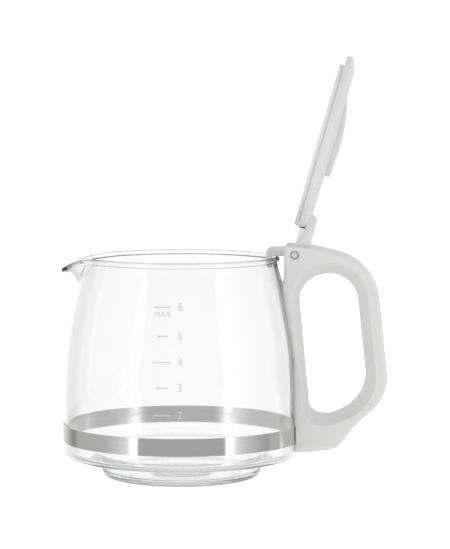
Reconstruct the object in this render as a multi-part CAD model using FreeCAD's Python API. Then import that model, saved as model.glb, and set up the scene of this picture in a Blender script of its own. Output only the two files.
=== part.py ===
import FreeCAD, Part
import os
from math import cos, exp, hypot, log, pi, radians, sin, sqrt, tan

# Glass coffee jug with a hinged lid, in millimetres.
# The origin is on the jug's axis, in the plane that it stands on.
# +Z is up, +X points to the handle and -X to the pouring lip.
# The lid is modelled closed and then swung open about its hinge.

# Glass body
GLASS_WALL = 2.0
FOOT_RADIUS = 39.0
FOOT_HEIGHT = 9.9
FOOT_ROUNDING = 4.0
FOOT_FILLET = 2.0
FLOOR_THICKNESS = 2.8
PUNT_RADIUS = 19.5
PUNT_DEPTH = 0.8
BELLY_RADIUS = 57.5
BELLY_HEIGHT = 28.0
HEEL_ROUNDING = 4.4
NECK_RADIUS = 47.4
NECK_HEIGHT = 102.0
SHOULDER_CURVE = 2.38
RIM_ABOVE_NECK = 6.0
RIM_BEAD_RADIUS = 1.3
RIM_FLARE = 3.7
RIM_FLARE_HEIGHT = 2.5

# Pouring lip, drawn out of the neck and let down below the rim
LIP_BELOW_NECK = 6.1
LIP_SLOPE = 2.6
LIP_EASE = 1.7
LIP_SIDE_RISE = 45.5
LIP_ROUNDING = radians(9)
LIP_SECTOR = radians(34)
LIP_SEAM_BELOW_NECK = 18.0
LIP_DROP_START = 46.0
LIP_DROP_SLOPE = 0.5
LIP_DROP_EASE = 3.0

# Clamp band
BAND_BOTTOM = 18.2
BAND_HEIGHT = 8.4
BAND_THICKNESS = 0.5
BAND_CLEARANCE = 0.1
LUG_LENGTH = 9.0
LUG_SPACING = 7.0
LUG_BEND = 1.0

# Clamp screw and barrel nut
NUT_RADIUS = 2.6
NUT_TO_LUG_END = 4.6
NUT_OVERHANG = 0.9
NUT_CLEARANCE = 0.1
SCREW_RADIUS = 2.0
SCREW_CLEARANCE = 0.25
THREAD_CLEARANCE = 0.04
SCREW_PAST_NUT = 0.8
SCREW_POINT = 0.4
HEAD_RADIUS = 3.7
HEAD_HEIGHT = 2.6
HEAD_ROUNDING = 1.0
CROSS_LENGTH = 4.4
CROSS_WIDTH = 1.0
CROSS_DEPTH = 1.6
WASHER_RADIUS = 4.1
WASHER_THICKNESS = 0.8
SEAT_TO_NUT = 10.5
COUNTERBORE_RADIUS = 4.6
POCKET_CLEARANCE = 0.5

# Handle
HANDLE_WIDTH = 32.0
HANDLE_CLEARANCE = 0.3
HANDLE_FROM_NECK = 3.0
HANDLE_FROM_BELLY = 2.5
HANDLE_ABOVE_RIM = 6.0
HANDLE_BOTTOM = 14.0
HANDLE_EDGE = 1.8
BEVEL_DEPTH = 4.5
BEVEL_FRONT = 2.8
BEVEL_TOP = 5.1
BEVEL_GRIP = 5.0
BEVEL_BOTTOM = 2.8

# Hook over the rim
HOOK_WIDTH = 9.6
HOOK_THICKNESS = 4.3
HOOK_INSIDE_NECK = 5.9
HOOK_ROUNDING = 2.4
TONGUE_THICKNESS = 2.8
TONGUE_BELOW_RIM = 5.8
SEAT_CLEARANCE = 0.3

# Lid hinge
HINGE_FROM_HANDLE = 5.1
HINGE_ABOVE_RIM = 1.65
PIN_RADIUS = 2.1
PIN_CLEARANCE = 0.05
PIN_RECESS = 1.6
PIN_DOME = 0.7
PIN_HOLE_BEVEL = 0.5
EAR_THICKNESS = 5.0
KNUCKLE_RADIUS = 4.2
SIDE_CLEARANCE = 0.3
STOP_CLEARANCE = 0.05
SLOT_FLOOR_GAP = 0.2
OPEN_ANGLE = 106.0

# Lid, a disc that hangs inside the mouth from its hinge block
LID_INSIDE_NECK = 4.2
LID_BELOW_RIM = 0.8
LID_EDGE_HEIGHT = 3.1
LID_HEIGHT = 5.55
LID_SHOULDER = 6.4
LID_WALL = 1.9
BLOCK_HEIGHT = 3.05
BLOCK_LENGTH = 19.6
BRIDGE_THICKNESS = 2.9
CHEEK_OVERHANG = 2.0
CHEEK_DROP = 3.9
CHEEK_TO_HINGE = 5.9

# Ramp for the drip valve, with the inlet dish in it
RAMP_REAR = 15.6
RAMP_FRONT = 25.0
RAMP_NOSE_RADIUS = 7.0
RAMP_REAR_HEIGHT = 2.75
RAMP_PEAK_HEIGHT = 4.0
RAMP_PEAK = 9.0
RAMP_CURVE = 90.0
RAMP_EDGE = 0.7
DISH_RADIUS = 8.5
INLET_RADIUS = 4.0
DISH_WALL = 1.8

# Insert under the lid
INSERT_INSIDE_LID = 0.6
INSERT_CLEARANCE = 0.3
INSERT_SEAT = 0.05
INSERT_WALL = 1.6
INSERT_DEPTH = 2.1
INSERT_ROUNDING = 1.1
INSERT_FLAT = 36.0
OUTLET_RADIUS = 8.0
OUTLET_COLLAR = 1.6
CATCH_WIDTH = 20.0
CATCH_THICKNESS = 2.1

# Worked out from the sizes above
V = FreeCAD.Vector
X_AXIS = V(1, 0, 0)
Y_AXIS = V(0, 1, 0)
Z_AXIS = V(0, 0, 1)
RIM_TOP = NECK_HEIGHT + RIM_ABOVE_NECK
LIP_START = NECK_HEIGHT - LIP_BELOW_NECK
LIP_SEAM = NECK_HEIGHT - LIP_SEAM_BELOW_NECK
BAND_MIDDLE = BAND_BOTTOM + BAND_HEIGHT / 2
BAND_TOP = BAND_BOTTOM + BAND_HEIGHT
BAND_INNER = BELLY_RADIUS + BAND_CLEARANCE
BAND_OUTER = BAND_INNER + BAND_THICKNESS
LUG_END = BAND_OUTER + LUG_LENGTH
LUG_OUTSIDE = LUG_SPACING / 2 + BAND_THICKNESS
NUT_X = LUG_END - NUT_TO_LUG_END
SEAT_X = NUT_X + SEAT_TO_NUT
HANDLE_FRONT = NECK_RADIUS + HANDLE_FROM_NECK
HANDLE_FOOT = BELLY_RADIUS - HANDLE_FROM_BELLY
HANDLE_TOP = RIM_TOP + HANDLE_ABOVE_RIM
GRIP_REACH = HANDLE_FOOT + 46.4
HOOK_REACH = NECK_RADIUS - HOOK_INSIDE_NECK
HOOK_BOTTOM = RIM_TOP + SEAT_CLEARANCE
HOOK_TOP = HOOK_BOTTOM + HOOK_THICKNESS
HINGE_X = HANDLE_FRONT + HINGE_FROM_HANDLE
HINGE_Z = RIM_TOP + HINGE_ABOVE_RIM
HINGE = V(HINGE_X, 0, HINGE_Z)
SLOT_HALF = HANDLE_WIDTH / 2 - EAR_THICKNESS
KNUCKLE_OUTSIDE = SLOT_HALF - SIDE_CLEARANCE
KNUCKLE_INSIDE = HOOK_WIDTH / 2 + 2 * SIDE_CLEARANCE
LID_RADIUS = NECK_RADIUS - LID_INSIDE_NECK
LID_TOP_RADIUS = LID_RADIUS - LID_SHOULDER
LID_BOTTOM = RIM_TOP - LID_BELOW_RIM
LID_EDGE_TOP = LID_BOTTOM + LID_EDGE_HEIGHT
LID_TOP = LID_BOTTOM + LID_HEIGHT
LID_CEILING = LID_TOP - LID_WALL
LID_HOLLOW_RADIUS = LID_RADIUS - LID_WALL
BLOCK_TOP = LID_TOP + BLOCK_HEIGHT
RAMP_TOP = LID_TOP + RAMP_PEAK_HEIGHT
INSERT_RADIUS = LID_RADIUS - INSERT_INSIDE_LID
INSERT_BOTTOM = LID_BOTTOM - INSERT_DEPTH
HOLLOW_FRONT = INSERT_FLAT + INSERT_CLEARANCE


def rounded_wire(corners):
    """A closed wire in the XZ plane through corners (x, z, rounding)."""
    edges = []
    count = len(corners)
    points = [V(x, 0, z) for x, z, _ in corners]
    leave = []
    for i in range(count):
        here = points[i]
        back = (points[i - 1] - here).normalize()
        ahead = (points[(i + 1) % count] - here).normalize()
        half_angle = back.getAngle(ahead) / 2
        rounding = corners[i][2]
        if rounding == 0:
            leave.append((here, here, None))
            continue
        reach = rounding * cos(half_angle) / sin(half_angle)
        inward = (back + ahead).normalize()
        middle = here + inward * (rounding / sin(half_angle) - rounding)
        leave.append((here + back * reach, here + ahead * reach, middle))
    for i in range(count):
        start, end, middle = leave[i]
        if middle is not None:
            edges.append(Part.Arc(start, middle, end).toShape())
        following = leave[(i + 1) % count][0]
        if end.distanceToPoint(following) > 1e-6:
            edges.append(Part.makeLine(end, following))
    return Part.Wire(edges)


def plate(corners, half_width):
    """A solid with this XZ outline that reaches half_width to each side."""
    face = Part.Face(rounded_wire(corners))
    face.translate(V(0, -half_width, 0))
    return face.extrude(V(0, 2 * half_width, 0))


def turned(corners):
    """A solid turned about the jug's axis from an outline of (radius, z, rounding)."""
    return Part.Face(rounded_wire(corners)).revolve(V(0, 0, 0), Z_AXIS, 360)


def block(x0, x1, half_width, z0, z1):
    return Part.makeBox(x1 - x0, 2 * half_width, z1 - z0, V(x0, -half_width, z0))


def across(radius, half_length, x, z):
    """A cylinder along Y, centred on the handle's middle plane."""
    return Part.makeCylinder(radius, 2 * half_length, V(x, -half_length, z), Y_AXIS)


def along(radius, x0, x1, z):
    """A cylinder along X on the handle's middle plane."""
    return Part.makeCylinder(radius, x1 - x0, V(x0, 0, z), X_AXIS)


def eased(distance, ease):
    """Zero far below 0 and the distance itself far above it, with a soft bend between."""
    return ease * log(1 + exp(distance / ease))


# ---------------------------------------------------------------- glass jug


def body_radius(z):
    """Outer radius of the round body at height z, without the pouring lip."""
    rise = max(0.0, (z - BELLY_HEIGHT) / (NECK_HEIGHT - BELLY_HEIGHT))
    taper = (BELLY_RADIUS - NECK_RADIUS) * rise**SHOULDER_CURVE
    return BELLY_RADIUS - taper + RIM_FLARE * exp((z - RIM_TOP) / RIM_FLARE_HEIGHT)


def outer_radius(angle, z):
    """Outer radius at this angle from the lip's middle."""
    aside = hypot(angle, LIP_ROUNDING) - LIP_ROUNDING
    above = z - LIP_START - LIP_SIDE_RISE * aside
    return body_radius(z) + LIP_SLOPE * eased(above, LIP_EASE)


def slopes(angle, z):
    """How fast the outer radius changes round the jug and up it."""
    small = 0.001
    radius = outer_radius(angle, z)
    around = (outer_radius(angle + small, z) - outer_radius(angle - small, z)) / (2 * small * radius)
    upward = (outer_radius(angle, z + small) - outer_radius(angle, z - small)) / (2 * small)
    return around, upward


def inner_radius(angle, z):
    """Inner radius that leaves the same wall square to the surface everywhere."""
    around, upward = slopes(angle, z)
    return outer_radius(angle, z) - GLASS_WALL * sqrt(1 + around**2 + upward**2)


def rim_height(x):
    """Height of the rim bead's centre, level all round and dropping towards the lip."""
    drop = LIP_DROP_SLOPE * eased(-x - LIP_DROP_START, LIP_DROP_EASE)
    return RIM_TOP - RIM_BEAD_RADIUS - drop


def rim_centre(angle):
    """Radius and height of the rim bead's centre, in the middle of the wall."""
    z = RIM_TOP - RIM_BEAD_RADIUS
    for _ in range(40):
        radius = (outer_radius(angle, z) + inner_radius(angle, z)) / 2
        z += (rim_height(-radius * cos(angle)) - z) / 2
    return radius, z


def wall_line(radius_at, angle, low, high, count):
    """One side of the wall in the XZ plane, from height low up to height high."""
    zs = [low + (high - low) * k / count for k in range(count + 1)]
    small = 0.001
    ends = [V(radius_at(angle, z + small) - radius_at(angle, z - small), 0, 2 * small) for z in (low, high)]
    curve = Part.BSplineCurve()
    points = [V(radius_at(angle, z), 0, z) for z in zs]
    curve.interpolate(Points=points, InitialTangent=ends[0].normalize(), FinalTangent=ends[1].normalize())
    return curve


def rim_edges(angle):
    """Outer wall, rolled rim and inner wall above the lip's seam, in the XZ plane."""
    radius, z = rim_centre(angle)
    join = z - sqrt(RIM_BEAD_RADIUS**2 - (GLASS_WALL / 2) ** 2)
    outside = wall_line(outer_radius, angle, LIP_SEAM, join, 6)
    inside = wall_line(inner_radius, angle, LIP_SEAM, join, 6)
    crest = V(radius, 0, z + RIM_BEAD_RADIUS)
    roll = Part.Arc(outside.EndPoint, crest, inside.EndPoint)
    return [outside.toShape(), roll.toShape(), inside.toShape()]


def lip_section(angle):
    """The wall above the lip's seam, cut by the upright plane at this angle."""
    edges = rim_edges(angle)
    foot = Part.makeLine(edges[2].Vertexes[0].Point, edges[0].Vertexes[0].Point)
    section = Part.Wire(edges + [foot])
    section.rotate(V(0, 0, 0), Z_AXIS, 180 - angle * 180 / pi)
    return section


def pouring_lip():
    """The lip's part of the wall, lofted round the jug through upright sections."""
    half = [0.08, 0.17, 0.27, 0.38, 0.5, 0.65, 0.81, 1]
    places = [-part for part in reversed(half)] + [0] + half
    return Part.makeLoft([lip_section(LIP_SECTOR * place) for place in places], True)


def round_body():
    """The jug turned as if it had no lip."""
    inner_foot = FOOT_RADIUS - GLASS_WALL
    inner_heel = FOOT_HEIGHT + GLASS_WALL
    inner_belly = BELLY_RADIUS - GLASS_WALL
    base = rounded_wire([
        (0, PUNT_DEPTH, 0),
        (PUNT_RADIUS, 0, 0),
        (FOOT_RADIUS, 0, FOOT_ROUNDING),
        (FOOT_RADIUS, FOOT_HEIGHT, FOOT_FILLET),
        (BELLY_RADIUS, FOOT_HEIGHT, HEEL_ROUNDING),
        (BELLY_RADIUS, BELLY_HEIGHT, 0),
        (inner_belly, BELLY_HEIGHT, 0),
        (inner_belly, inner_heel, HEEL_ROUNDING - GLASS_WALL),
        (inner_foot, inner_heel, FOOT_FILLET + GLASS_WALL),
        (inner_foot, FLOOR_THICKNESS, FOOT_ROUNDING - GLASS_WALL),
        (0, FLOOR_THICKNESS, 0),
    ])
    base_edges = [e for e in base.Edges if e.BoundBox.ZMin < BELLY_HEIGHT - 0.001]
    outside = wall_line(outer_radius, LIP_SECTOR, BELLY_HEIGHT, LIP_SEAM, 4).toShape()
    inside = wall_line(inner_radius, LIP_SECTOR, BELLY_HEIGHT, LIP_SEAM, 4).toShape()
    edges = Part.__sortEdges__(base_edges + [outside, inside] + rim_edges(LIP_SECTOR))
    return Part.Face(Part.Wire(edges)).revolve(V(0, 0, 0), Z_AXIS, 360)


def lip_wedge():
    """The sector of the round body that the pouring lip takes the place of."""
    reach = 2 * BELLY_RADIUS
    side = reach * tan(LIP_SECTOR)
    corners = [V(0, 0, LIP_SEAM), V(-reach, -side, LIP_SEAM), V(-reach, side, LIP_SEAM)]
    return Part.Face(Part.makePolygon(corners + corners[:1])).extrude(V(0, 0, RIM_TOP))


def glass_jug():
    return round_body().cut(lip_wedge()).fuse([pouring_lip()], 0.01)


# --------------------------------------------------------------- clamp band


def clamp_band():
    """A strip round the belly whose ends turn outward into two lugs."""
    ring = Part.makeCylinder(BAND_OUTER, BAND_HEIGHT, V(0, 0, BAND_BOTTOM))
    ring = ring.cut(Part.makeCylinder(BAND_INNER, BAND_HEIGHT, V(0, 0, BAND_BOTTOM)))
    gap = block(0, 2 * BAND_OUTER, LUG_SPACING / 2, BAND_BOTTOM, BAND_TOP)
    root = sqrt(BAND_INNER**2 - (LUG_SPACING / 2) ** 2)
    lugs = block(root, LUG_END, LUG_OUTSIDE, BAND_BOTTOM, BAND_TOP)
    band = ring.cut(gap).fuse(lugs.cut(gap)).removeSplitter()
    band = band.makeFillet(LUG_BEND, [e for e in band.Edges if is_lug_bend(e)])
    return band.cut(across(NUT_RADIUS + NUT_CLEARANCE, 2 * LUG_SPACING, NUT_X, BAND_MIDDLE))


def is_lug_bend(edge):
    """True for the upright edge in the corner between the strip and a lug's outer side."""
    box = edge.BoundBox
    upright = box.ZLength > BAND_HEIGHT - 0.01
    at_lug = abs(abs(box.YMin) - LUG_OUTSIDE) < 0.01
    return upright and at_lug and box.XMax < BAND_OUTER + 0.5


def band_nut():
    nut = across(NUT_RADIUS, LUG_OUTSIDE + NUT_OVERHANG, NUT_X, BAND_MIDDLE)
    thread = along(SCREW_RADIUS + THREAD_CLEARANCE, BAND_OUTER, SEAT_X, BAND_MIDDLE)
    return nut.cut(thread)


def band_screw():
    tip = NUT_X - NUT_RADIUS - SCREW_PAST_NUT
    under_head = SEAT_X + WASHER_THICKNESS
    top = under_head + HEAD_HEIGHT
    shank = along(SCREW_RADIUS, tip, top - CROSS_DEPTH, BAND_MIDDLE)
    point = [e for e in shank.Edges if e.BoundBox.XMax < tip + 0.01]
    head = along(HEAD_RADIUS, under_head, top, BAND_MIDDLE)
    crown = [e for e in head.Edges if e.BoundBox.XMin > top - 0.01]
    screw = shank.makeChamfer(SCREW_POINT, point).fuse(head.makeFillet(HEAD_ROUNDING, crown))
    for height, width in [(CROSS_LENGTH, CROSS_WIDTH), (CROSS_WIDTH, CROSS_LENGTH)]:
        low = BAND_MIDDLE - height / 2
        screw = screw.cut(block(top - CROSS_DEPTH, top, width / 2, low, low + height))
    return screw


def screw_washer():
    disc = along(WASHER_RADIUS, SEAT_X, SEAT_X + WASHER_THICKNESS, BAND_MIDDLE)
    return disc.cut(along(SCREW_RADIUS + SCREW_CLEARANCE, NUT_X, SEAT_X + WASHER_THICKNESS, BAND_MIDDLE))


# ------------------------------------------------------------------- handle


def handle_outline():
    """The handle seen from the side, as corners (x, z, rounding)."""
    return [
        (HANDLE_FRONT, HANDLE_TOP, 2.2),
        (HANDLE_FRONT + 13.4, HANDLE_TOP - 1.0, 60),
        (HANDLE_FRONT + 44.4, HANDLE_TOP - 8.4, 26.6),
        (GRIP_REACH, HANDLE_BOTTOM + 27.3, 21.9),
        (HANDLE_FOOT + 29.6, HANDLE_BOTTOM + 13.3, 60),
        (HANDLE_FOOT + 21.5, HANDLE_BOTTOM + 1.8, 9.5),
        (HANDLE_FOOT + 9.1, HANDLE_BOTTOM, 52),
        (HANDLE_FOOT, HANDLE_BOTTOM, 0),
        (HANDLE_FOOT, HANDLE_BOTTOM + 46, 80),
        (HANDLE_FRONT, HANDLE_TOP - 9.5, 50),
    ]


def opening_throat():
    """The narrowest part of the finger opening, as corners (x, z, rounding)."""
    return [
        (HANDLE_FRONT + 6.2, HANDLE_TOP - 17.5, 13.7),
        (HANDLE_FRONT + 33.8, HANDLE_TOP - 9.2, 13.8),
        (GRIP_REACH - 10.0, HANDLE_BOTTOM + 24.0, 20.0),
        (HANDLE_FOOT + 17.3, HANDLE_BOTTOM + 15.6, 13.0),
        (HANDLE_FOOT + 7.8, HANDLE_BOTTOM + 16.8, 6.3),
    ]


def widened(corners, widths):
    """The outline with each side moved outward; widths[i] is for the side that leaves corner i."""
    count = len(corners)
    points = [V(x, 0, z) for x, z, _ in corners]
    ways = [(points[(i + 1) % count] - points[i]).normalize() for i in range(count)]
    result = []
    for i in range(count):
        back = ways[i - 1]
        ahead = ways[i]
        turn = back.getAngle(ahead)
        moved = points[i] + (back * widths[i] - ahead * widths[i - 1]) * (1 / sin(turn))
        rounding = corners[i][2] + 0.8 * min(widths[i - 1], widths[i])
        result.append((moved.x, moved.z, rounding))
    return result


def finger_opening():
    """The opening's throat and, on both faces, the wide bevel that leads into it."""
    half = HANDLE_WIDTH / 2
    throat = opening_throat()
    crease = widened(throat, [BEVEL_TOP, BEVEL_GRIP, BEVEL_BOTTOM, BEVEL_BOTTOM, BEVEL_FRONT])
    bevels = []
    for side in (-1, 1):
        mouth = rounded_wire(crease)
        mouth.translate(V(0, side * half, 0))
        neck = rounded_wire(throat)
        neck.translate(V(0, side * (half - BEVEL_DEPTH), 0))
        bevels.append(Part.makeLoft([mouth, neck], True, True))
    return plate(throat, half).fuse(bevels)


def jug_clearance():
    """The glass and its band with the handle's running clearance, as one turned solid."""
    gap = HANDLE_CLEARANCE
    low = BAND_BOTTOM - gap
    high = BAND_TOP + gap
    heights = [high + (NECK_HEIGHT - high) * step / 8 for step in range(9)]
    curve = Part.BSplineCurve()
    curve.interpolate([V(body_radius(z) + gap, 0, z) for z in heights])
    belly = BELLY_RADIUS + gap
    band = BAND_OUTER + gap
    corners = [curve.EndPoint, V(curve.EndPoint.x, 0, RIM_TOP), V(0, 0, RIM_TOP), V(0, 0, 0)]
    corners += [V(belly, 0, 0), V(belly, 0, low), V(band, 0, low), V(band, 0, high), curve.StartPoint]
    sides = [Part.makeLine(a, b) for a, b in zip(corners, corners[1:])]
    return Part.Face(Part.Wire([curve.toShape()] + sides)).revolve(V(0, 0, 0), Z_AXIS, 360)


def clamp_space():
    """Pocket for the lugs and nut, screw hole and counterbore."""
    low = BAND_BOTTOM - POCKET_CLEARANCE
    high = BAND_TOP + POCKET_CLEARANCE
    pocket_end = LUG_END + POCKET_CLEARANCE
    pocket = block(0, pocket_end, LUG_OUTSIDE + NUT_OVERHANG + POCKET_CLEARANCE, low, high)
    hole = along(SCREW_RADIUS + SCREW_CLEARANCE, NUT_X, SEAT_X, BAND_MIDDLE)
    bore = along(COUNTERBORE_RADIUS, SEAT_X, GRIP_REACH, BAND_MIDDLE)
    return [pocket, hole, bore]


def hinge_slot():
    """The slot between the ears; its back wall leans with the open lid and stops it."""
    reach = HANDLE_TOP
    floor = HINGE_Z - KNUCKLE_RADIUS - SLOT_FLOOR_GAP
    slot = block(0, reach, SLOT_HALF, floor, 2 * reach)
    swing = block(-reach, 2 * reach, reach, -reach, BLOCK_TOP + STOP_CLEARANCE)
    swing.rotate(HINGE, Y_AXIS, OPEN_ANGLE)
    return slot.common(swing)


def rim_hook():
    """The arm that reaches over the rim and the tongue that hangs inside the neck."""
    back = HINGE_X - PIN_RADIUS
    inner = HOOK_REACH + TONGUE_THICKNESS
    root = HINGE_Z - KNUCKLE_RADIUS - 2
    bottom = RIM_TOP - TONGUE_BELOW_RIM
    rounding = TONGUE_THICKNESS / 2 - 0.05
    return plate([
        (HOOK_REACH, HOOK_TOP, HOOK_ROUNDING),
        (back, HOOK_TOP, 0.6),
        (back, root, 0),
        (HANDLE_FRONT, root, 0),
        (HANDLE_FRONT, HOOK_BOTTOM, 0),
        (inner, HOOK_BOTTOM, 0.3),
        (inner, bottom, rounding),
        (HOOK_REACH, bottom, rounding),
    ], HOOK_WIDTH / 2)


def pin_hole():
    """Hole through both ears with a bevelled mouth on each face."""
    radius = PIN_RADIUS + PIN_CLEARANCE
    face = HANDLE_WIDTH / 2
    hole = across(radius, face, HINGE_X, HINGE_Z)
    mouths = []
    for side in (-1, 1):
        inner = V(HINGE_X, side * (face - PIN_HOLE_BEVEL), HINGE_Z)
        mouths.append(Part.makeCone(radius, radius + PIN_HOLE_BEVEL, PIN_HOLE_BEVEL, inner, Y_AXIS * side))
    return hole.fuse(mouths)


def handle():
    body = plate(handle_outline(), HANDLE_WIDTH / 2)
    rims = [e for e in body.Edges if e.BoundBox.YLength < 0.01 and e.BoundBox.XMax > HANDLE_FRONT + 0.1]
    body = body.makeFillet(HANDLE_EDGE, rims)
    body = body.cut([finger_opening(), jug_clearance(), hinge_slot(), pin_hole()] + clamp_space())
    return body.fuse(rim_hook()).removeSplitter()


def lid_hinge_pin():
    pin = across(PIN_RADIUS, HANDLE_WIDTH / 2 - PIN_RECESS, HINGE_X, HINGE_Z)
    ends = [e for e in pin.Edges if e.BoundBox.YLength < 0.01]
    return pin.makeFillet(PIN_DOME, ends)


# ---------------------------------------------------------------------- lid


def lid_shell():
    """The lid's disc: upright edge, sloped shoulder, flat top, hollow behind a solid nose."""
    disc = turned([
        (0, LID_TOP, 0),
        (LID_TOP_RADIUS, LID_TOP, 3.0),
        (LID_RADIUS, LID_EDGE_TOP, 0.8),
        (LID_RADIUS, LID_BOTTOM, 0.6),
        (0, LID_BOTTOM, 0),
    ])
    hollow = turned([
        (0, LID_CEILING, 0),
        (LID_TOP_RADIUS, LID_CEILING, 0),
        (LID_HOLLOW_RADIUS, LID_EDGE_TOP - LID_WALL, 0),
        (LID_HOLLOW_RADIUS, LID_BOTTOM, 0),
        (0, LID_BOTTOM, 0),
    ])
    nose = block(-LID_RADIUS, -HOLLOW_FRONT, LID_RADIUS, LID_BOTTOM, LID_TOP)
    return disc.cut(hollow.cut(nose))


def teardrop(rear, nose, distance, low, high):
    """Upright solid round two circles: rear on the axis, nose this far in front of it."""
    lean = (rear - nose) / distance
    side = sqrt(1 - lean**2)
    rear_touch = [V(-rear * lean, way * rear * side, low) for way in (-1, 1)]
    nose_touch = [V(-distance - nose * lean, way * nose * side, low) for way in (-1, 1)]
    edges = [
        Part.Arc(rear_touch[0], V(rear, 0, low), rear_touch[1]).toShape(),
        Part.makeLine(rear_touch[1], nose_touch[1]),
        Part.Arc(nose_touch[1], V(-distance - nose, 0, low), nose_touch[0]).toShape(),
        Part.makeLine(nose_touch[0], rear_touch[0]),
    ]
    return Part.Face(Part.Wire(edges)).extrude(V(0, 0, high - low))


def ramp(margin):
    """The valve ramp: teardrop in plan, climbing from the front and round at the back."""
    rear = RAMP_REAR - margin
    nose = RAMP_NOSE_RADIUS - margin
    low = LID_CEILING - 0.1
    side = plate([
        (rear, low, 0),
        (rear, LID_TOP + RAMP_REAR_HEIGHT - margin, 0),
        (-RAMP_PEAK, RAMP_TOP - margin, RAMP_CURVE),
        (-RAMP_FRONT + margin, LID_TOP - margin, 0),
        (-RAMP_FRONT + margin, low, 0),
    ], rear)
    solid = side.common(teardrop(rear, nose, RAMP_FRONT - RAMP_NOSE_RADIUS, low, RAMP_TOP))
    brim = [e for e in solid.Edges if is_brim(e, low)]
    return solid.makeFillet(RAMP_EDGE, brim)


def is_brim(edge, low):
    """True for the edges round the ramp's top, which are neither upright nor on its floor."""
    box = edge.BoundBox
    level = max(box.XLength, box.YLength) > 0.1
    return level and box.ZMin > low + 0.1


def hinge_block():
    """Two knuckles on the pin, joined over the rim hook by a bridge."""
    clear_of_rim = RIM_TOP + SEAT_CLEARANCE
    beam = plate([
        (HINGE_X - BLOCK_LENGTH, LID_CEILING, 0),
        (HINGE_X - BLOCK_LENGTH, BLOCK_TOP, 2.0),
        (HINGE_X, BLOCK_TOP, 1.0),
        (HINGE_X + 3.9, HINGE_Z + 1.5, 1.0),
        (HINGE_X + 3.0, HINGE_Z - 1.0, 0),
        (HINGE_X, clear_of_rim, 0),
        (LID_RADIUS - 1, clear_of_rim, 0),
        (LID_RADIUS - 1, LID_CEILING, 0),
    ], KNUCKLE_OUTSIDE)
    return beam.fuse(across(KNUCKLE_RADIUS, KNUCKLE_OUTSIDE, HINGE_X, HINGE_Z)).removeSplitter()


def cheeks():
    """The gussets that carry the disc's edge on towards the hinge, lower than the bridge."""
    start = LID_RADIUS - 1
    end = HINGE_X - CHEEK_TO_HINGE
    clear_of_rim = RIM_TOP + SEAT_CLEARANCE
    return plate([
        (LID_TOP_RADIUS, LID_CEILING, 0),
        (LID_TOP_RADIUS, LID_TOP, 0),
        (end, LID_TOP - CHEEK_DROP, 0.4),
        (end, clear_of_rim, 0),
        (start, clear_of_rim, 0),
        (start, LID_CEILING, 0),
    ], KNUCKLE_OUTSIDE + CHEEK_OVERHANG)


def hook_notch():
    """The space under the bridge that the rim hook needs when the lid is shut."""
    under = BLOCK_TOP - BRIDGE_THICKNESS
    return block(HOOK_REACH - 0.9, GRIP_REACH, KNUCKLE_INSIDE, INSERT_BOTTOM - KNUCKLE_RADIUS, under)


def lid_catch():
    """The snap catch on the lid's nose that holds the insert's flat front."""
    return block(-HOLLOW_FRONT - CATCH_THICKNESS, -HOLLOW_FRONT, CATCH_WIDTH / 2, INSERT_BOTTOM, LID_CEILING)


def lid():
    well = Part.makeCylinder(DISH_RADIUS + DISH_WALL, RAMP_PEAK_HEIGHT, V(0, 0, LID_CEILING))
    body = lid_shell().fuse([hinge_block(), cheeks(), ramp(0), lid_catch()])
    body = body.cut([ramp(LID_WALL).cut(well), hook_notch()])
    dish = Part.makeCone(INLET_RADIUS, DISH_RADIUS, RAMP_TOP - LID_CEILING, V(0, 0, LID_CEILING))
    inlet = Part.makeCylinder(INLET_RADIUS, LID_HEIGHT, V(0, 0, LID_BOTTOM))
    bore = across(PIN_RADIUS + PIN_CLEARANCE, HANDLE_WIDTH, HINGE_X, HINGE_Z)
    body = body.cut([dish, inlet, bore]).removeSplitter()
    body.rotate(HINGE, Y_AXIS, OPEN_ANGLE)
    return body


def lid_insert():
    """Shallow cup under the lid: a flange below the lid's edge and a collared outlet."""
    flange_top = LID_BOTTOM - INSERT_SEAT
    wall_top = LID_EDGE_TOP - LID_WALL - INSERT_CLEARANCE
    outside = LID_HOLLOW_RADIUS - INSERT_CLEARANCE
    inside = outside - INSERT_WALL
    floor = INSERT_BOTTOM + INSERT_WALL
    collar = OUTLET_RADIUS + OUTLET_COLLAR
    cup = turned([
        (OUTLET_RADIUS, INSERT_BOTTOM, 0),
        (INSERT_RADIUS, INSERT_BOTTOM, INSERT_ROUNDING),
        (INSERT_RADIUS, flange_top, 0),
        (outside, flange_top, 0),
        (outside, wall_top, 0),
        (inside, wall_top, 0),
        (inside, floor, 0),
        (collar, floor, 0),
        (collar, floor + INSERT_WALL, 0),
        (OUTLET_RADIUS, floor + INSERT_WALL, 0),
    ])
    front = block(-INSERT_RADIUS, -INSERT_FLAT, INSERT_RADIUS, INSERT_BOTTOM, wall_top)
    cup = cup.cut([front, hook_notch()])
    cup.rotate(HINGE, Y_AXIS, OPEN_ANGLE)
    return cup


# ------------------------------------------------------------------- export

PIECES = {
    "glass_jug": glass_jug,
    "clamp_band": clamp_band,
    "band_nut": band_nut,
    "band_screw": band_screw,
    "screw_washer": screw_washer,
    "handle": handle,
    "lid_hinge_pin": lid_hinge_pin,
    "lid": lid,
    "lid_insert": lid_insert,
}

os.makedirs("parts", exist_ok=True)
for name, make in PIECES.items():
    shape = make()
    box = shape.BoundBox
    print(name, len(shape.Solids), shape.isValid(), round(shape.Volume), "mm3", box)
    shape.exportStep(os.path.join("parts", name + ".step"))
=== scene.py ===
from math import atan2, cos, exp, hypot, log, pi, radians, sin, sqrt

import bmesh
import bpy
from mathutils import Euler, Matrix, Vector
from mathutils.bvhtree import BVHTree


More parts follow.
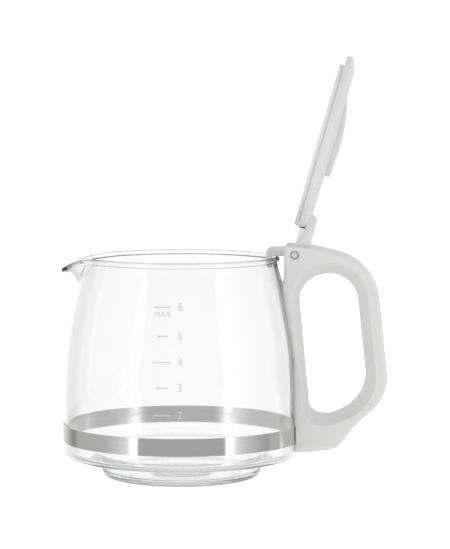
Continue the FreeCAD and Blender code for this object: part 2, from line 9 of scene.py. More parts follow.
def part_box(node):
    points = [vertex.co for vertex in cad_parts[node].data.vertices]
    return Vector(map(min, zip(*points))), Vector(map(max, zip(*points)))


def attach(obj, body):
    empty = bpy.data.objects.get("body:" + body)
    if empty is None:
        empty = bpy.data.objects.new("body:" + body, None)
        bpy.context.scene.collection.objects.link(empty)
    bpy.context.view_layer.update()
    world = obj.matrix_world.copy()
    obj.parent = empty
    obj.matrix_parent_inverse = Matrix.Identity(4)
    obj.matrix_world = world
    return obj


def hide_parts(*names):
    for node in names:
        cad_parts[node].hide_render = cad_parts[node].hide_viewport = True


# Glass coffee jug with its lid standing open.
# Metres. The jug's axis is +Z, the handle is at +X, the pouring lip at -X and the level marks
# face -Y. The lid's pieces are the solids themselves; the glass, the handle's front, the hinge
# pin and the marks are made here.

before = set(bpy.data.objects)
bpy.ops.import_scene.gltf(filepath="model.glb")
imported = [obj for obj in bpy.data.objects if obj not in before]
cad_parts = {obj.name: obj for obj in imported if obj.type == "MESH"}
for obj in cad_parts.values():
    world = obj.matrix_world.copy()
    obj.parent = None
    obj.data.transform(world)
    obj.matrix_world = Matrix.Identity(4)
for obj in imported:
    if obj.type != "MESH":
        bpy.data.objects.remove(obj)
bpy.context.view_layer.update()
MM = 0.001

# ------------------------------------------------------------- sizes, metres

JUG_LOW, JUG_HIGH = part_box("glass_jug")

# Glass wall. The solid's rim flares by 3.7 mm; here it is less, since the rolled rim is thicker.
WALL = 2.0 * MM
FOOT_RADIUS = 39.0 * MM
FOOT_HEIGHT = 9.9 * MM
FOOT_ROUNDING = 4.0 * MM
FOOT_FILLET = 2.0 * MM
FLOOR_THICKNESS = 2.8 * MM
PUNT_RADIUS = 19.5 * MM
PUNT_DEPTH = 0.8 * MM
BELLY_RADIUS = JUG_HIGH.y
BELLY_HEIGHT = 28.0 * MM
HEEL_ROUNDING = 4.4 * MM
NECK_RADIUS = 47.4 * MM
NECK_HEIGHT = 102.0 * MM
SHOULDER_CURVE = 2.38
RIM_TOP = NECK_HEIGHT + 6.0 * MM
RIM_FLARE = 2.8 * MM
RIM_FLARE_HEIGHT = 2.5 * MM

# Rolled rim, 0.1 mm thicker than the solid's: its middle lies BEAD_DEPTH under the skin, with a
# shallow hollow below it
BEAD_RADIUS = 1.4 * MM
BEAD_DEPTH = 0.8 * MM
BEAD_UNDERCUT = 0.3 * MM
UNDERCUT_LENGTH = 3.0 * MM

# Fineness of the glass: steps round the axis, up the wall and round the bead
COLUMNS = 288
WALL_ROWS = 80
ROW_CROWDING = 1.5
BEAD_STEPS = 16

# Pouring lip, from 0.75 mm higher up than the solid's so that the thicker rim stays within it
LIP_START = NECK_HEIGHT - 5.35 * MM
LIP_SLOPE = 2.6
LIP_EASE = 1.7 * MM
LIP_SIDE_RISE = 45.5 * MM
LIP_ROUNDING = radians(9)
LIP_DROP_START = 46.0 * MM
LIP_DROP_SLOPE = 0.5
LIP_DROP_EASE = 3.0 * MM

# Handle front, beside the glass: it leans from HANDLE_FOOT and is carried forward most at the
# peak's height, fading out over the faces behind it. It is cut finely before it is moved.
HANDLE_FOOT = 55.0 * MM
HANDLE_LEAN = 0.1034
HANDLE_LEAN_START = 60.0 * MM
GLASS_CLEARANCE = 0.3 * MM
FRONT_PEAK = 2.0 * MM
FRONT_PEAK_HEIGHT = 93.0 * MM
FRONT_EASE_BELOW = 25.0 * MM
FRONT_EASE_ABOVE = 6.0 * MM
FRONT_FADE_START = 1.9 * MM
FRONT_FADE_END = 3.6 * MM
FRONT_LOW = 60.0 * MM
FRONT_HIGH = 106.0 * MM
FRONT_AHEAD = 1.5 * MM
CUT_MARGIN = 2.0 * MM
CUT_DEPTH = 5.0 * MM
CUT_HEIGHTS_MM = range(61, 107, 2)
CUTS_ASIDE_MM = range(-12, 13, 4)
HANDLE_SHARP = radians(28)

# Hinge pin's ends: radius, length and rounded edge
PIN_END = 1.5 * MM
PIN_STEP = 0.8 * MM
PIN_ROUNDING = 0.3 * MM
ROUNDING_MIDDLE_IN = 0.1 * MM
ROUNDING_MIDDLE_DOWN = 0.08 * MM
PIN_SIDES = 64
PIN_SHARP = radians(40)

# Level marks; every second cup has the longer line
LEVEL_HEIGHTS_MM = {6: 87.75, 5: 74.3, 4: 62.2, 3: 50.3, 2: 37.5}
LONG_MARK = 8.2 * MM
SHORT_MARK = 5.2 * MM
MARK_LINE = 0.55 * MM
MARK_CENTRE = -5.4 * MM
NUMERAL_CENTRE = 3.0 * MM
NUMERAL_SIZE = 5.25 * MM
MAX_SIZE = 3.75 * MM
MAX_DROP_MM = 3.4
STROKE_OFFSET = -0.002
INK_THICKNESS = 0.04 * MM

# Camera
CAMERA_PLACE = (79.9 * MM, -1206.4 * MM, 201.1 * MM)
CAMERA_TILT = 0.0844
CAMERA_TURN = 0.0485
CAMERA_LENS = 163.14
SENSOR_WIDTH = 36.0

# Light: levels by degrees to the right of LIGHT_TURN, and by the direction's height.
# Crisp is what surfaces mirror and the glass shows, soft is what lights plain surfaces.
LIGHT_TURN = radians(3.8)
BRIGHTEST = 2.0
CRISP_AROUND = [
    (-180, 1.03), (-165, 1.01), (-152, 0.85), (-138, 0.6), (-131, 0.38), (-124, 0.42), (-118, 0.62),
    (-80, 0.65), (-66, 0.82), (-57, 1.0), (-53, 1.15), (-49, 1.85), (-43.5, 1.85), (-42, 0.56),
    (42, 0.56), (43.5, 1.85), (49, 1.85), (53, 1.2), (57, 1.0), (66, 0.8), (80, 0.62), (92.5, 0.5),
    (94, 0.64), (108, 0.62), (114, 1.2), (117, 0.6), (124, 0.5), (140, 0.9), (165, 1.01), (180, 1.03),
]
CRISP_UPWARD = [(-1, 0.7), (-0.5, 0.8), (-0.25, 1.0), (0.3, 1.0), (0.45, 0.6), (0.7, 0.25), (1, 0.25)]
SOFT_AROUND = [(-180, 0.9), (-90, 1.0), (0, 1.0), (90, 0.92), (180, 0.85)]
SOFT_UPWARD = [(-1, 0.85), (0, 1.0), (0.5, 0.9), (1, 0.7)]

# Floor: half its side, and how far it lies under the foot
FLOOR_REACH = 3.0
FLOOR_DROP = 0.2 * MM

# ------------------------------------------------------------- node helpers


class Finish:
    """A material under construction, with short calls for the nodes it is made of."""

    def __init__(self, name):
        self.material = bpy.data.materials.new(name)
        self.material.use_nodes = True
        self.tree = self.material.node_tree
        self.shader = self.tree.nodes["Principled BSDF"]
        self.place = self.tree.nodes.new("ShaderNodeTexCoord").outputs["Object"]

    def node(self, kind, **settings):
        made = self.tree.nodes.new(kind)
        for name, value in settings.items():
            setattr(made, name, value)
        return made

    def join(self, source, target):
        self.tree.links.new(source, target)

    def set(self, **values):
        for name, value in values.items():
            self.shader.inputs[name.replace("_", " ")].default_value = value

    def stretched(self, scale):
        """Object coordinates scaled by a vector."""
        mapping = self.node("ShaderNodeMapping")
        self.join(self.place, mapping.inputs["Vector"])
        mapping.inputs["Scale"].default_value = scale
        return mapping.outputs["Vector"]

    def noise(self, scale, detail=4.0, roughness=0.5, vector=None):
        made = self.node("ShaderNodeTexNoise")
        self.join(vector or self.place, made.inputs["Vector"])
        made.inputs["Scale"].default_value = scale
        made.inputs["Detail"].default_value = detail
        made.inputs["Roughness"].default_value = roughness
        return made.outputs["Fac"]

    def spread(self, value, low, high):
        """Maps the middle of a noise, 0.3-0.7, to low-high."""
        made = self.node("ShaderNodeMapRange")
        self.join(value, made.inputs["Value"])
        made.inputs["From Min"].default_value = 0.3
        made.inputs["From Max"].default_value = 0.7
        made.inputs["To Min"].default_value = low
        made.inputs["To Max"].default_value = high
        return made.outputs["Result"]

    def tinted(self, value, dark, light):
        """Two colours blended by a value."""
        ramp = self.node("ShaderNodeValToRGB")
        ramp.color_ramp.elements[0].position = 0.3
        ramp.color_ramp.elements[0].color = (*dark, 1)
        ramp.color_ramp.elements[1].position = 0.7
        ramp.color_ramp.elements[1].color = (*light, 1)
        self.join(value, ramp.inputs["Fac"])
        self.join(ramp.outputs["Color"], self.shader.inputs["Base Color"])

    def blended(self, share, low, high):
        """The socket high where share is 1, the number low where it is 0."""
        made = self.node("ShaderNodeMix", data_type="FLOAT")
        self.join(share, made.inputs["Factor"])
        made.inputs["A"].default_value = low
        self.join(high, made.inputs["B"])
        return made.outputs["Result"]

    def rough(self, value, low, high):
        self.join(self.spread(value, low, high), self.shader.inputs["Roughness"])

    def bump(self, value, height):
        """Raises the surface by value times a height in metres."""
        made = self.node("ShaderNodeBump")
        made.inputs["Strength"].default_value = 1.0
        made.inputs["Distance"].default_value = height
        self.join(value, made.inputs["Height"])
        self.join(made.outputs["Normal"], self.shader.inputs["Normal"])


# ---------------------------------------------------------------- materials


def blown_glass():
    """Clear borosilicate with the slight waviness of a blown wall."""
    finish = Finish("blown_glass")
    finish.set(Transmission_Weight=1.0, IOR=1.47)
    finish.shader.inputs["Base Color"].default_value = (0.995, 0.997, 0.996, 1)
    finish.rough(finish.noise(90), 0.0, 0.01)
    finish.bump(finish.noise(40, detail=1.0), 0.006 * MM)
    tint = finish.node("ShaderNodeVolumeAbsorption")
    tint.inputs["Color"].default_value = (0.845, 0.87, 0.855, 1)
    tint.inputs["Density"].default_value = 12.0
    output = finish.tree.nodes["Material Output"]
    finish.join(tint.outputs["Volume"], output.inputs["Volume"])
    return finish.material


def satin_white(name, tone, grain=0.005):
    """White moulded plastic with a fine spark-eroded grain."""
    finish = Finish(name)
    finish.set(IOR=1.49, Specular_IOR_Level=0.45, Subsurface_Weight=0.6, Subsurface_Scale=2.5 * MM)
    finish.shader.inputs["Subsurface Radius"].default_value = (1, 1, 1)
    low = tuple(c * 0.985 for c in tone)
    finish.tinted(finish.noise(60, detail=3), low, tone)
    finish.rough(finish.noise(240, detail=5), 0.36, 0.46)
    finish.bump(finish.noise(2600, detail=3, roughness=0.6), grain * MM)
    return finish.material


def polished_band(satin=0.24, painted_inside_light=1.48):
    """Rolled stainless strip with faint lines along it, polished outside, satin inside, with painted light
    brightening the inside's colour.
    """
    finish = Finish("polished_band")
    finish.set(Metallic=1.0)
    lines = finish.noise(60, detail=4, roughness=0.65, vector=finish.stretched((0.4, 0.4, 60)))
    facing = finish.node("ShaderNodeVectorMath", operation="DOT_PRODUCT")
    finish.join(finish.place, facing.inputs[0])
    finish.join(finish.node("ShaderNodeTexCoord").outputs["Normal"], facing.inputs[1])
    outside = finish.node("ShaderNodeMath", operation="GREATER_THAN")
    finish.join(facing.outputs["Value"], outside.inputs[0])
    outside.inputs[1].default_value = 0.0
    finish.tinted(lines, (0.60, 0.598, 0.592), (0.66, 0.658, 0.652))
    base = finish.shader.inputs["Base Color"]
    # Painted light: the inner face's colour is made brighter than the outer face's, though both are the
    # same steel.
    lift = finish.node("ShaderNodeMapRange")
    finish.join(outside.outputs[0], lift.inputs["Value"])
    lift.inputs["To Min"].default_value = painted_inside_light
    lift.inputs["To Max"].default_value = 1.0
    toned = finish.node("ShaderNodeHueSaturation")
    finish.join(lift.outputs["Result"], toned.inputs["Value"])
    finish.join(base.links[0].from_socket, toned.inputs["Color"])
    finish.join(toned.outputs["Color"], base)
    sheen = finish.blended(outside.outputs[0], satin, finish.spread(lines, 0.06, 0.11))
    finish.join(sheen, finish.shader.inputs["Roughness"])
    finish.bump(lines, 0.0006 * MM)
    return finish.material


def zinc_plated():
    """Steel fasteners with a thin, slightly cloudy zinc coat."""
    finish = Finish("zinc_plated")
    finish.set(Metallic=1.0)
    cloud = finish.noise(500, detail=4)
    finish.tinted(cloud, (0.52, 0.53, 0.54), (0.64, 0.65, 0.66))
    finish.rough(cloud, 0.22, 0.38)
    finish.bump(finish.noise(3000, detail=2), 0.002 * MM)
    return finish.material


def mark_ink():
    """Grey ceramic ink, baked on and slightly broken up."""
    finish = Finish("mark_ink")
    speck = finish.noise(2500, detail=3)
    finish.tinted(speck, (0.65, 0.66, 0.66), (0.71, 0.72, 0.72))
    finish.rough(speck, 0.4, 0.6)
    finish.bump(speck, 0.004 * MM)
    return finish.material


def dress(node, material):
    """Gives a CAD node its finish."""
    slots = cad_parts[node].material_slots
    for slot in slots:
        slot.material = material


HANDLE_PLASTIC = satin_white("handle_plastic", (0.815, 0.815, 0.81))
LID_PLASTIC = satin_white("lid_plastic", (0.84, 0.84, 0.835))
dress("clamp_band", polished_band())
for fastener in ("band_nut", "band_screw", "screw_washer"):
    dress(fastener, zinc_plated())
dress("handle", HANDLE_PLASTIC)
dress("lid_hinge_pin", LID_PLASTIC)
dress("lid", LID_PLASTIC)
dress("lid_insert", LID_PLASTIC)

# ------------------------------------------------------------ making pieces


def smooth_body(body, sharp):
    """Smooth faces, with an edge kept sharp where it turns by more than an angle."""
    for face in body.faces:
        face.smooth = True
    for edge in body.edges:
        edge.smooth = len(edge.link_faces) == 2 and edge.calc_face_angle() < sharp


def placed(name, mesh):
    """An object at the origin with this mesh."""
    made = bpy.data.objects.new(name, mesh)
    bpy.context.scene.collection.objects.link(made)
    return made


def piece_of(name, body, material):
    """A piece in one material, from a bmesh that is used up."""
    mesh = bpy.data.meshes.new(name)
    body.to_mesh(mesh)
    body.free()
    mesh.materials.append(material)
    return placed(name, mesh)


def evaluated_mesh(source):
    """A plain mesh of an object with its modifiers carried out."""
    return bpy.data.meshes.new_from_object(source.evaluated_get(bpy.context.evaluated_depsgraph_get()))


# --------------------------------------------------------------- glass jug


def eased(distance, ease):
    """Zero far below 0 and the distance itself far above it, with a soft bend between."""
    return ease * log(1 + exp(distance / ease))


def body_radius(z):
    """Outer radius of the round body at height z, without the pouring lip."""
    rise = max(0.0, (z - BELLY_HEIGHT) / (NECK_HEIGHT - BELLY_HEIGHT))
    taper = (BELLY_RADIUS - NECK_RADIUS) * rise**SHOULDER_CURVE
    return BELLY_RADIUS - taper + RIM_FLARE * exp((z - RIM_TOP) / RIM_FLARE_HEIGHT)


def outer_radius(angle, z):
    """Outer radius at this angle from the lip's middle."""
    aside = hypot(angle, LIP_ROUNDING) - LIP_ROUNDING
    above = z - LIP_START - LIP_SIDE_RISE * aside
    return body_radius(z) + LIP_SLOPE * eased(above, LIP_EASE)


def skin_slope(angle, z):
    """How far the outer skin moves out for each metre up."""
    climb = 0.001 * MM
    return (outer_radius(angle, z + climb) - outer_radius(angle, z - climb)) / (2 * climb)


def under_skin(angle, z, depth):
    """The point (radius, height) at this depth under the outer skin, square to it."""
    slope = skin_slope(angle, z)
    return outer_radius(angle, z) - depth / hypot(1, slope), z + depth * slope / hypot(1, slope)


def rim_height(angle):
    """Skin height beside the rim bead; it drops towards the lip."""
    z = RIM_TOP
    for _ in range(60):
        radius, height = under_skin(angle, z, BEAD_DEPTH)
        drop = LIP_DROP_SLOPE * eased(radius * cos(angle) - LIP_DROP_START, LIP_DROP_EASE)
        z += (RIM_TOP - BEAD_RADIUS - drop - height) / 2
    return z


def arc_through(start, middle, end, steps):
    """The points between start and end on the circle through three points."""
    (ax, ay), (bx, by), (cx, cy) = start, middle, end
    twice = 2 * (ax * (by - cy) + bx * (cy - ay) + cx * (ay - by))
    a, b, c = (x * x + y * y for x, y in (start, middle, end))
    x = (a * (by - cy) + b * (cy - ay) + c * (ay - by)) / twice
    y = (a * (cx - bx) + b * (ax - cx) + c * (bx - ax)) / twice
    radius = hypot(ax - x, ay - y)
    first = atan2(ay - y, ax - x)
    sweep = (atan2(cy - y, cx - x) - first) % (2 * pi)
    if (atan2(by - y, bx - x) - first) % (2 * pi) > sweep:
        sweep -= 2 * pi
    turns = [first + sweep * k / steps for k in range(1, steps)]
    return [(x + radius * cos(turn), y + radius * sin(turn)) for turn in turns]


def rounded(corners, steps=7):
    """An open line through corners (radius, z, rounding)."""
    points = []
    for i, (x, z, rounding) in enumerate(corners):
        here = Vector((x, z))
        if rounding == 0:
            points.append(here)
            continue
        back = (Vector(corners[i - 1][:2]) - here).normalized()
        ahead = (Vector(corners[i + 1][:2]) - here).normalized()
        half = back.angle(ahead) / 2
        reach = rounding * cos(half) / sin(half)
        middle = here + (back + ahead).normalized() * (rounding / sin(half) - rounding)
        start, end = here + back * reach, here + ahead * reach
        points += [start, *arc_through(start, middle, end, steps), end]
    return [tuple(point) for point in points]


def wall_profile(angle):
    """Outer wall, rolled rim and inner wall at this angle, from the belly and back to it."""
    rim = rim_height(angle)
    slope = skin_slope(angle, rim)
    upright = 1 / hypot(1, slope)
    radius, height = under_skin(angle, rim, BEAD_DEPTH)
    tip = (radius + BEAD_RADIUS * slope * upright, height + BEAD_RADIUS * upright)

    def heights(offset):
        """Skin heights up to where the bead begins, closer together near it."""
        top = rim - upright * sqrt(BEAD_RADIUS**2 - offset**2)
        below = [(1 - row / WALL_ROWS) ** ROW_CROWDING for row in range(WALL_ROWS + 1)]
        return [top - (top - BELLY_HEIGHT) * share for share in below]

    outer = heights(BEAD_DEPTH - BEAD_UNDERCUT)
    outside = []
    for z in outer:
        undercut = BEAD_UNDERCUT * exp((z - outer[-1]) / (UNDERCUT_LENGTH * upright))
        outside.append(under_skin(angle, z, undercut))
    inside = [under_skin(angle, z, WALL) for z in reversed(heights(WALL - BEAD_DEPTH))]
    return outside + arc_through(outside[-1], tip, inside[0], BEAD_STEPS) + inside


def blown_jug():
    """The whole jug as one smooth skin, turned through the angles round its axis."""
    outer_base = rounded([
        (PUNT_RADIUS / 2, PUNT_DEPTH / 2, 0),
        (PUNT_RADIUS, 0, 2 * MM),
        (FOOT_RADIUS, 0, FOOT_ROUNDING),
        (FOOT_RADIUS, FOOT_HEIGHT, FOOT_FILLET),
        (BELLY_RADIUS, FOOT_HEIGHT, HEEL_ROUNDING),
        (BELLY_RADIUS, (FOOT_HEIGHT + BELLY_HEIGHT) / 2, 0),
    ])
    inner_base = rounded([
        (BELLY_RADIUS - WALL, (FOOT_HEIGHT + BELLY_HEIGHT) / 2, 0),
        (BELLY_RADIUS - WALL, FOOT_HEIGHT + WALL, HEEL_ROUNDING - WALL),
        (FOOT_RADIUS - WALL, FOOT_HEIGHT + WALL, FOOT_FILLET + WALL),
        (FOOT_RADIUS - WALL, FLOOR_THICKNESS, FOOT_ROUNDING - WALL),
        (PUNT_RADIUS / 2, FLOOR_THICKNESS, 0),
    ])
    body = bmesh.new()
    rings = []
    for column in range(COLUMNS):
        angle = 2 * pi * column / COLUMNS
        from_lip = angle if angle < pi else angle - 2 * pi
        profile = outer_base + wall_profile(from_lip) + inner_base
        rings.append([body.verts.new((-r * cos(angle), -r * sin(angle), z)) for r, z in profile])
    under = body.verts.new((0, 0, PUNT_DEPTH))
    floor_middle = body.verts.new((0, 0, FLOOR_THICKNESS))
    for ring, following in zip(rings, rings[1:] + rings[:1]):
        for k in range(len(ring) - 1):
            body.faces.new((ring[k], following[k], following[k + 1], ring[k + 1]))
        body.faces.new((under, following[0], ring[0]))
        body.faces.new((floor_middle, ring[-1], following[-1]))
    bmesh.ops.recalc_face_normals(body, faces=body.faces)
    jug = piece_of("blown_jug", body, blown_glass())
    jug.data.shade_smooth()
    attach(jug, "jug")
    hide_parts("glass_jug")
    return jug


JUG = blown_jug()

# ------------------------------------------------------ handle and hinge pin


def front_reach(z):
    """How much closer to the glass the handle's front edge stands at this height."""
    below = (FRONT_PEAK_HEIGHT - z) / FRONT_EASE_BELOW
    above = (z - FRONT_PEAK_HEIGHT) / FRONT_EASE_ABOVE
    return FRONT_PEAK * exp(-max(below, above) ** 2)


def moulded_handle():
    """The handle with its front edge carried on towards the glass under the neck."""
    body = bmesh.new()
    body.from_mesh(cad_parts["handle"].data)
    bmesh.ops.remove_doubles(body, verts=body.verts, dist=0.001 * MM)

    def front(z):
        """The plain front edge at height z."""
        return HANDLE_FOOT - HANDLE_LEAN * (z - HANDLE_LEAN_START)

    def divide(place, direction):
        """Cuts the faces near the front along a plane."""
        parts = set()
        for face in body.faces:
            middle = face.calc_center_median()
            level = FRONT_LOW - CUT_MARGIN < middle.z < FRONT_HIGH + CUT_MARGIN
            if level and middle.x < front(middle.z) + CUT_DEPTH:
                parts |= {face, *face.edges, *face.verts}
        bmesh.ops.bisect_plane(body, geom=list(parts), plane_co=place, plane_no=direction)

    for height in CUT_HEIGHTS_MM:
        divide((0, 0, height * MM), (0, 0, 1))
    for aside in CUTS_ASIDE_MM:
        divide((0, aside * MM, 0), (0, 1, 0))
    for vert in body.verts:
        x, y, z = vert.co
        behind = x - front(z)
        if not (FRONT_LOW < z < FRONT_HIGH and -FRONT_AHEAD < behind < FRONT_FADE_END):
            continue
        fade = (behind - FRONT_FADE_START) / (FRONT_FADE_END - FRONT_FADE_START)
        moved = x - front_reach(z) * (1 - min(1, max(0, fade)))
        clear = body_radius(z) + GLASS_CLEARANCE
        vert.co.x = max(moved, min(x, sqrt(max(0, clear**2 - y**2))))
    bmesh.ops.dissolve_degenerate(body, dist=0.001 * MM, edges=body.edges)
    bmesh.ops.triangulate(body, faces=[f for f in body.faces if len(f.verts) > 3])
    smooth_body(body, HANDLE_SHARP)
    handle = piece_of("moulded_handle", body, HANDLE_PLASTIC)
    flat = handle.modifiers.new("flat_faces", "WEIGHTED_NORMAL")
    flat.keep_sharp = True
    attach(handle, "jug")
    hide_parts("handle")


moulded_handle()


def turned_pin():
    """The lid's hinge pin, with a narrower end sunk in each of the handle's holes."""
    low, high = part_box("lid_hinge_pin")
    middle = (low + high) / 2
    radius = (high.z - low.z) / 2
    end = high.y
    profile = [
        (PIN_END - PIN_ROUNDING, end),
        (PIN_END - ROUNDING_MIDDLE_IN, end - ROUNDING_MIDDLE_DOWN),
        (PIN_END, end - PIN_ROUNDING),
        (PIN_END, end - PIN_STEP),
        (radius, end - PIN_STEP),
    ]
    profile += [(r, -y) for r, y in reversed(profile)]
    turns = [2 * pi * k / PIN_SIDES for k in range(PIN_SIDES)]
    body = bmesh.new()
    rings = []
    for r, y in profile:
        rings.append([body.verts.new((middle.x + r * cos(t), y, middle.z + r * sin(t))) for t in turns])
    for ring, following in zip(rings, rings[1:]):
        for k in range(PIN_SIDES):
            body.faces.new((ring[k - 1], ring[k], following[k], following[k - 1]))
    for ring in (rings[0], rings[-1]):
        body.faces.new(ring)
    bmesh.ops.recalc_face_normals(body, faces=body.faces)
    smooth_body(body, PIN_SHARP)
    pin = piece_of("turned_pin", body, LID_PLASTIC)
    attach(pin, "jug")
    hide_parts("lid_hinge_pin")


turned_pin()

# -------------------------------------------------------------- level marks


def flat_parts(mesh):
    """The points of a mesh and the points of each of its faces."""
    return [v.co.copy() for v in mesh.vertices], [tuple(p.vertices) for p in mesh.polygons]


GLASS_SURFACE = BVHTree.FromPolygons(*flat_parts(JUG.data))
IN_FRONT = -2 * JUG_HIGH.y


def on_glass(across, height, lift):
    """The place over the glass at a distance aside from its front line, and a height."""
    start = Vector((across, IN_FRONT, height))
    hit, outward = GLASS_SURFACE.ray_cast(start, Vector((0, 1, 0)))[:2]
    return hit + outward * lift


def line_nodes(ink):
    """Geometry Nodes that repeat a line at every point, lay it on the glass and thicken it."""
    tree = bpy.data.node_groups.new("level_lines", "GeometryNodeTree")
    sockets = (
        ("Points", "NodeSocketGeometry"), ("Glass", "NodeSocketObject"),
        ("Line Height", "NodeSocketFloat"), ("Ink Thickness", "NodeSocketFloat"),
    )
    for name, kind in sockets:
        tree.interface.new_socket(name, in_out="INPUT", socket_type=kind)
    tree.interface.new_socket("Lines", in_out="OUTPUT", socket_type="NodeSocketGeometry")

    def node(kind, inputs, **settings):
        made = tree.nodes.new(kind)
        for name, value in settings.items():
            setattr(made, name, value)
        for name, value in inputs.items():
            if isinstance(value, bpy.types.NodeSocket):
                tree.links.new(value, made.inputs[name])
            else:
                made.inputs[name].default_value = value
        return made

    given = node("NodeGroupInput", {}).outputs
    length = node("GeometryNodeInputNamedAttribute", {"Name": "length"}, data_type="FLOAT")
    stretch = node("ShaderNodeCombineXYZ", {"X": length.outputs["Attribute"], "Y": 1.0, "Z": 1.0})
    strip = node("GeometryNodeMeshGrid", {
        "Size X": 1.0, "Size Y": given["Line Height"], "Vertices X": 13, "Vertices Y": 2,
    })
    upright = node("GeometryNodeTransform", {"Geometry": strip.outputs["Mesh"], "Rotation": (pi / 2, 0, 0)})
    repeated = node("GeometryNodeInstanceOnPoints", {
        "Points": given["Points"], "Instance": upright.outputs[0], "Scale": stretch.outputs[0],
    })
    flat = node("GeometryNodeRealizeInstances", {"Geometry": repeated.outputs[0]})
    glass = node("GeometryNodeObjectInfo", {"Object": given["Glass"]})
    hit = node("GeometryNodeRaycast", {
        "Target Geometry": glass.outputs["Geometry"], "Ray Direction": (0, 1, 0), "Ray Length": 1.0,
    })
    gap = node("ShaderNodeMath", {0: given["Ink Thickness"], 1: 0.25}, operation="MULTIPLY")
    layer = node("ShaderNodeMath", {0: given["Ink Thickness"], 1: 0.75}, operation="MULTIPLY")
    lift = node("ShaderNodeVectorMath", {
        0: hit.outputs["Hit Normal"], "Scale": gap.outputs[0],
    }, operation="SCALE")
    place = node("ShaderNodeVectorMath", {
        0: hit.outputs["Hit Position"], 1: lift.outputs[0],
    }, operation="ADD")
    under = node("GeometryNodeSetPosition", {"Geometry": flat.outputs[0], "Position": place.outputs[0]})
    over = node("GeometryNodeExtrudeMesh", {
        "Mesh": under.outputs[0], "Offset Scale": layer.outputs[0], "Individual": False,
    }, mode="FACES")
    back = node("GeometryNodeFlipFaces", {"Mesh": under.outputs[0]})
    both = node("GeometryNodeJoinGeometry", {})
    tree.links.new(over.outputs["Mesh"], both.inputs[0])
    tree.links.new(back.outputs[0], both.inputs[0])
    closed = node("GeometryNodeMergeByDistance", {"Geometry": both.outputs[0], "Distance": 0.001 * MM})
    whole = node("GeometryNodeRealizeInstances", {"Geometry": closed.outputs[0]})
    inked = node("GeometryNodeSetMaterial", {"Geometry": whole.outputs[0], "Material": ink})
    node("NodeGroupOutput", {"Lines": inked.outputs[0]})
    return tree


def level_lines(lengths, ink):
    """One mesh of the level lines, from their lengths by height."""
    points = bpy.data.meshes.new("level_lines")
    points.from_pydata([(MARK_CENTRE, IN_FRONT, height) for height in lengths], [], [])
    points.attributes.new("length", "FLOAT", "POINT").data.foreach_set("value", list(lengths.values()))
    lines = placed("level_lines", points)
    steps = lines.modifiers.new("level_lines", "NODES")
    steps.node_group = line_nodes(ink)
    sizes = {"Glass": JUG, "Line Height": MARK_LINE, "Ink Thickness": INK_THICKNESS}
    for socket in steps.node_group.interface.items_tree:
        if socket.name in sizes:
            steps[socket.identifier] = sizes[socket.name]
    mesh = evaluated_mesh(lines)
    lines.modifiers.remove(steps)
    bpy.data.objects.remove(lines)
    return mesh


def lettering(words, across, height, size):
    """Points and faces of a short word or numeral, flat, centred on its place."""
    curve = bpy.data.curves.new(words, "FONT")
    curve.body = words
    curve.align_x, curve.align_y = "CENTER", "CENTER"
    curve.size = size
    curve.resolution_u = 6
    curve.offset = STROKE_OFFSET * size
    text = placed(words, curve)
    points, faces = flat_parts(evaluated_mesh(text))
    bpy.data.objects.remove(text)
    bpy.data.curves.remove(curve)
    return [(point.x + across, point.y + height) for point in points], faces


def level_marks():
    """The cup scale, printed on the glass as one thin layer."""
    ink = mark_ink()
    lengths = {}
    parts = []
    for cups, height in LEVEL_HEIGHTS_MM.items():
        lengths[height * MM] = LONG_MARK if cups % 2 == 0 else SHORT_MARK
        parts.append(lettering(str(cups), NUMERAL_CENTRE, height * MM, NUMERAL_SIZE))
    under_top = max(LEVEL_HEIGHTS_MM.values()) - MAX_DROP_MM
    parts.append(lettering("MAX", MARK_CENTRE, under_top * MM, MAX_SIZE))
    body = bmesh.new()
    body.from_mesh(level_lines(lengths, ink))
    for points, faces in parts:
        lower = [body.verts.new(on_glass(x, z, INK_THICKNESS / 4)) for x, z in points]
        upper = [body.verts.new(on_glass(x, z, INK_THICKNESS)) for x, z in points]
        for face in faces:
            body.faces.new([upper[i] for i in face])
            body.faces.new([lower[i] for i in reversed(face)])
        edges = {pair: True for face in faces for pair in zip(face, face[1:] + face[:1])}
        for a, b in edges:
            if (b, a) not in edges:
                body.faces.new((lower[a], lower[b], upper[b], upper[a]))
    bmesh.ops.recalc_face_normals(body, faces=body.faces)
    marks = piece_of("level_marks", body, ink)
    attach(marks, "jug")


level_marks()

# ------------------------------------------------------------------- studio


def floor():
    """A plain pale floor just under the foot, which neither lights the jug nor shows in the glass."""
    mesh = bpy.data.meshes.new("floor")
    level = JUG_LOW.z - FLOOR_DROP
    corners = [(-1, -1), (1, -1), (1, 1), (-1, 1)]
    mesh.from_pydata([(x * FLOOR_REACH, y * FLOOR_REACH, level) for x, y in corners], [], [(0, 1, 2, 3)])
    plane = placed("floor", mesh)
    material = bpy.data.materials.new("pale_floor")
    material.use_nodes = True
    shader = material.node_tree.nodes["Principled BSDF"]
    shader.inputs["Base Color"].default_value = (0.9, 0.9, 0.9, 1)
    shader.inputs["Roughness"].default_value = 0.9
    shader.inputs["Emission Color"].default_value = (1, 1, 1, 1)
    shader.inputs["Emission Strength"].default_value = 1.0
    mesh.materials.append(material)
    plane.visible_glossy = False
    plane.visible_transmission = False
    plane.visible_diffuse = False


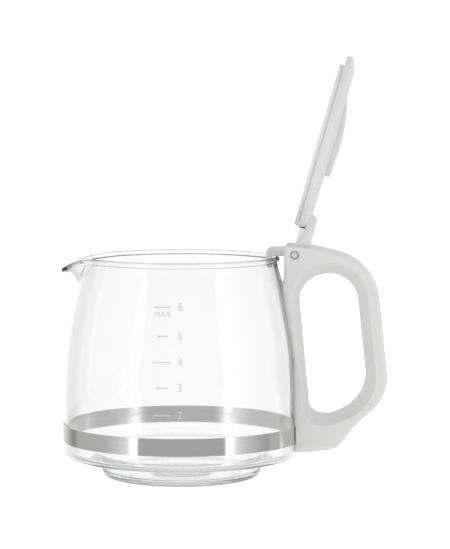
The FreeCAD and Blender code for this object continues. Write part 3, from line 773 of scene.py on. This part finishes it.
def studio():
    """A white room: two tall soft boxes beside the camera, a pale back and a dim ceiling."""
    world = bpy.data.worlds.new("studio")
    world.use_nodes = True
    world.cycles.sampling_method = "NONE"
    bpy.context.scene.world = world
    tree = world.node_tree
    nodes, links = tree.nodes, tree.links
    back = nodes["Background"]
    coord = nodes.new("ShaderNodeTexCoord")
    split = nodes.new("ShaderNodeSeparateXYZ")
    links.new(coord.outputs["Generated"], split.inputs[0])

    def worked_out(operation, *values):
        """The result of one step of arithmetic on numbers and sockets."""
        made = nodes.new("ShaderNodeMath")
        made.operation = operation
        for socket, value in zip(made.inputs, values):
            if isinstance(value, (int, float)):
                socket.default_value = value
            else:
                links.new(value, socket)
        return made.outputs[0]

    def ramp(share, stops, brightest):
        """Light levels along a share of 0-1, from stops (share, level)."""
        made = nodes.new("ShaderNodeValToRGB")
        links.new(share, made.inputs["Fac"])
        elements = made.color_ramp.elements
        while len(elements) < len(stops):
            elements.new(0.5)
        for element, (place, level) in zip(elements, stops):
            element.position = place
            element.color = (level / brightest, level / brightest, level / brightest, 1)
        return worked_out("MULTIPLY", made.outputs["Color"], brightest)

    towards_camera = worked_out("MULTIPLY", split.outputs["Y"], -1.0)
    turned = worked_out("ARCTAN2", split.outputs["X"], towards_camera)
    turned = worked_out("SUBTRACT", turned, LIGHT_TURN)
    share_around = worked_out("MULTIPLY_ADD", turned, 0.5 / pi, 0.5)
    share_upward = worked_out("MULTIPLY_ADD", split.outputs["Z"], 0.5, 0.5)

    def dome(around, upward, brightest):
        """Light levels by direction, from levels by degrees and by height."""
        across = ramp(share_around, [(degrees / 360 + 0.5, level) for degrees, level in around], brightest)
        up = ramp(share_upward, [((z + 1) / 2, level) for z, level in upward], 1.0)
        return worked_out("MULTIPLY", across, up)

    crisp = dome(CRISP_AROUND, CRISP_UPWARD, BRIGHTEST)
    soft = dome(SOFT_AROUND, SOFT_UPWARD, 1.0)
    path = nodes.new("ShaderNodeLightPath")
    mix = nodes.new("ShaderNodeMix")
    mix.data_type = "FLOAT"
    links.new(worked_out("GREATER_THAN", path.outputs["Diffuse Depth"], 0.5), mix.inputs["Factor"])
    links.new(crisp, mix.inputs["A"])
    links.new(soft, mix.inputs["B"])
    links.new(mix.outputs["Result"], back.inputs["Strength"])
    back.inputs["Color"].default_value = (1, 1, 1, 1)


def camera():
    """At the jug's side, a little towards the handle and looking slightly down."""
    data = bpy.data.cameras.new("camera")
    data.sensor_width = SENSOR_WIDTH
    data.lens = CAMERA_LENS
    seat = placed("camera", data)
    seat.location = CAMERA_PLACE
    seat.rotation_euler = Euler((pi / 2 - CAMERA_TILT, 0, CAMERA_TURN), "XYZ")
    bpy.context.scene.camera = seat


floor()
studio()
camera()
scene = bpy.context.scene
scene.view_settings.view_transform = "Standard"
scene.cycles.max_bounces = 64
scene.cycles.transmission_bounces = 48
scene.cycles.glossy_bounces = 48
scene.cycles.transparent_max_bounces = 16
scene.cycles.use_denoising = True
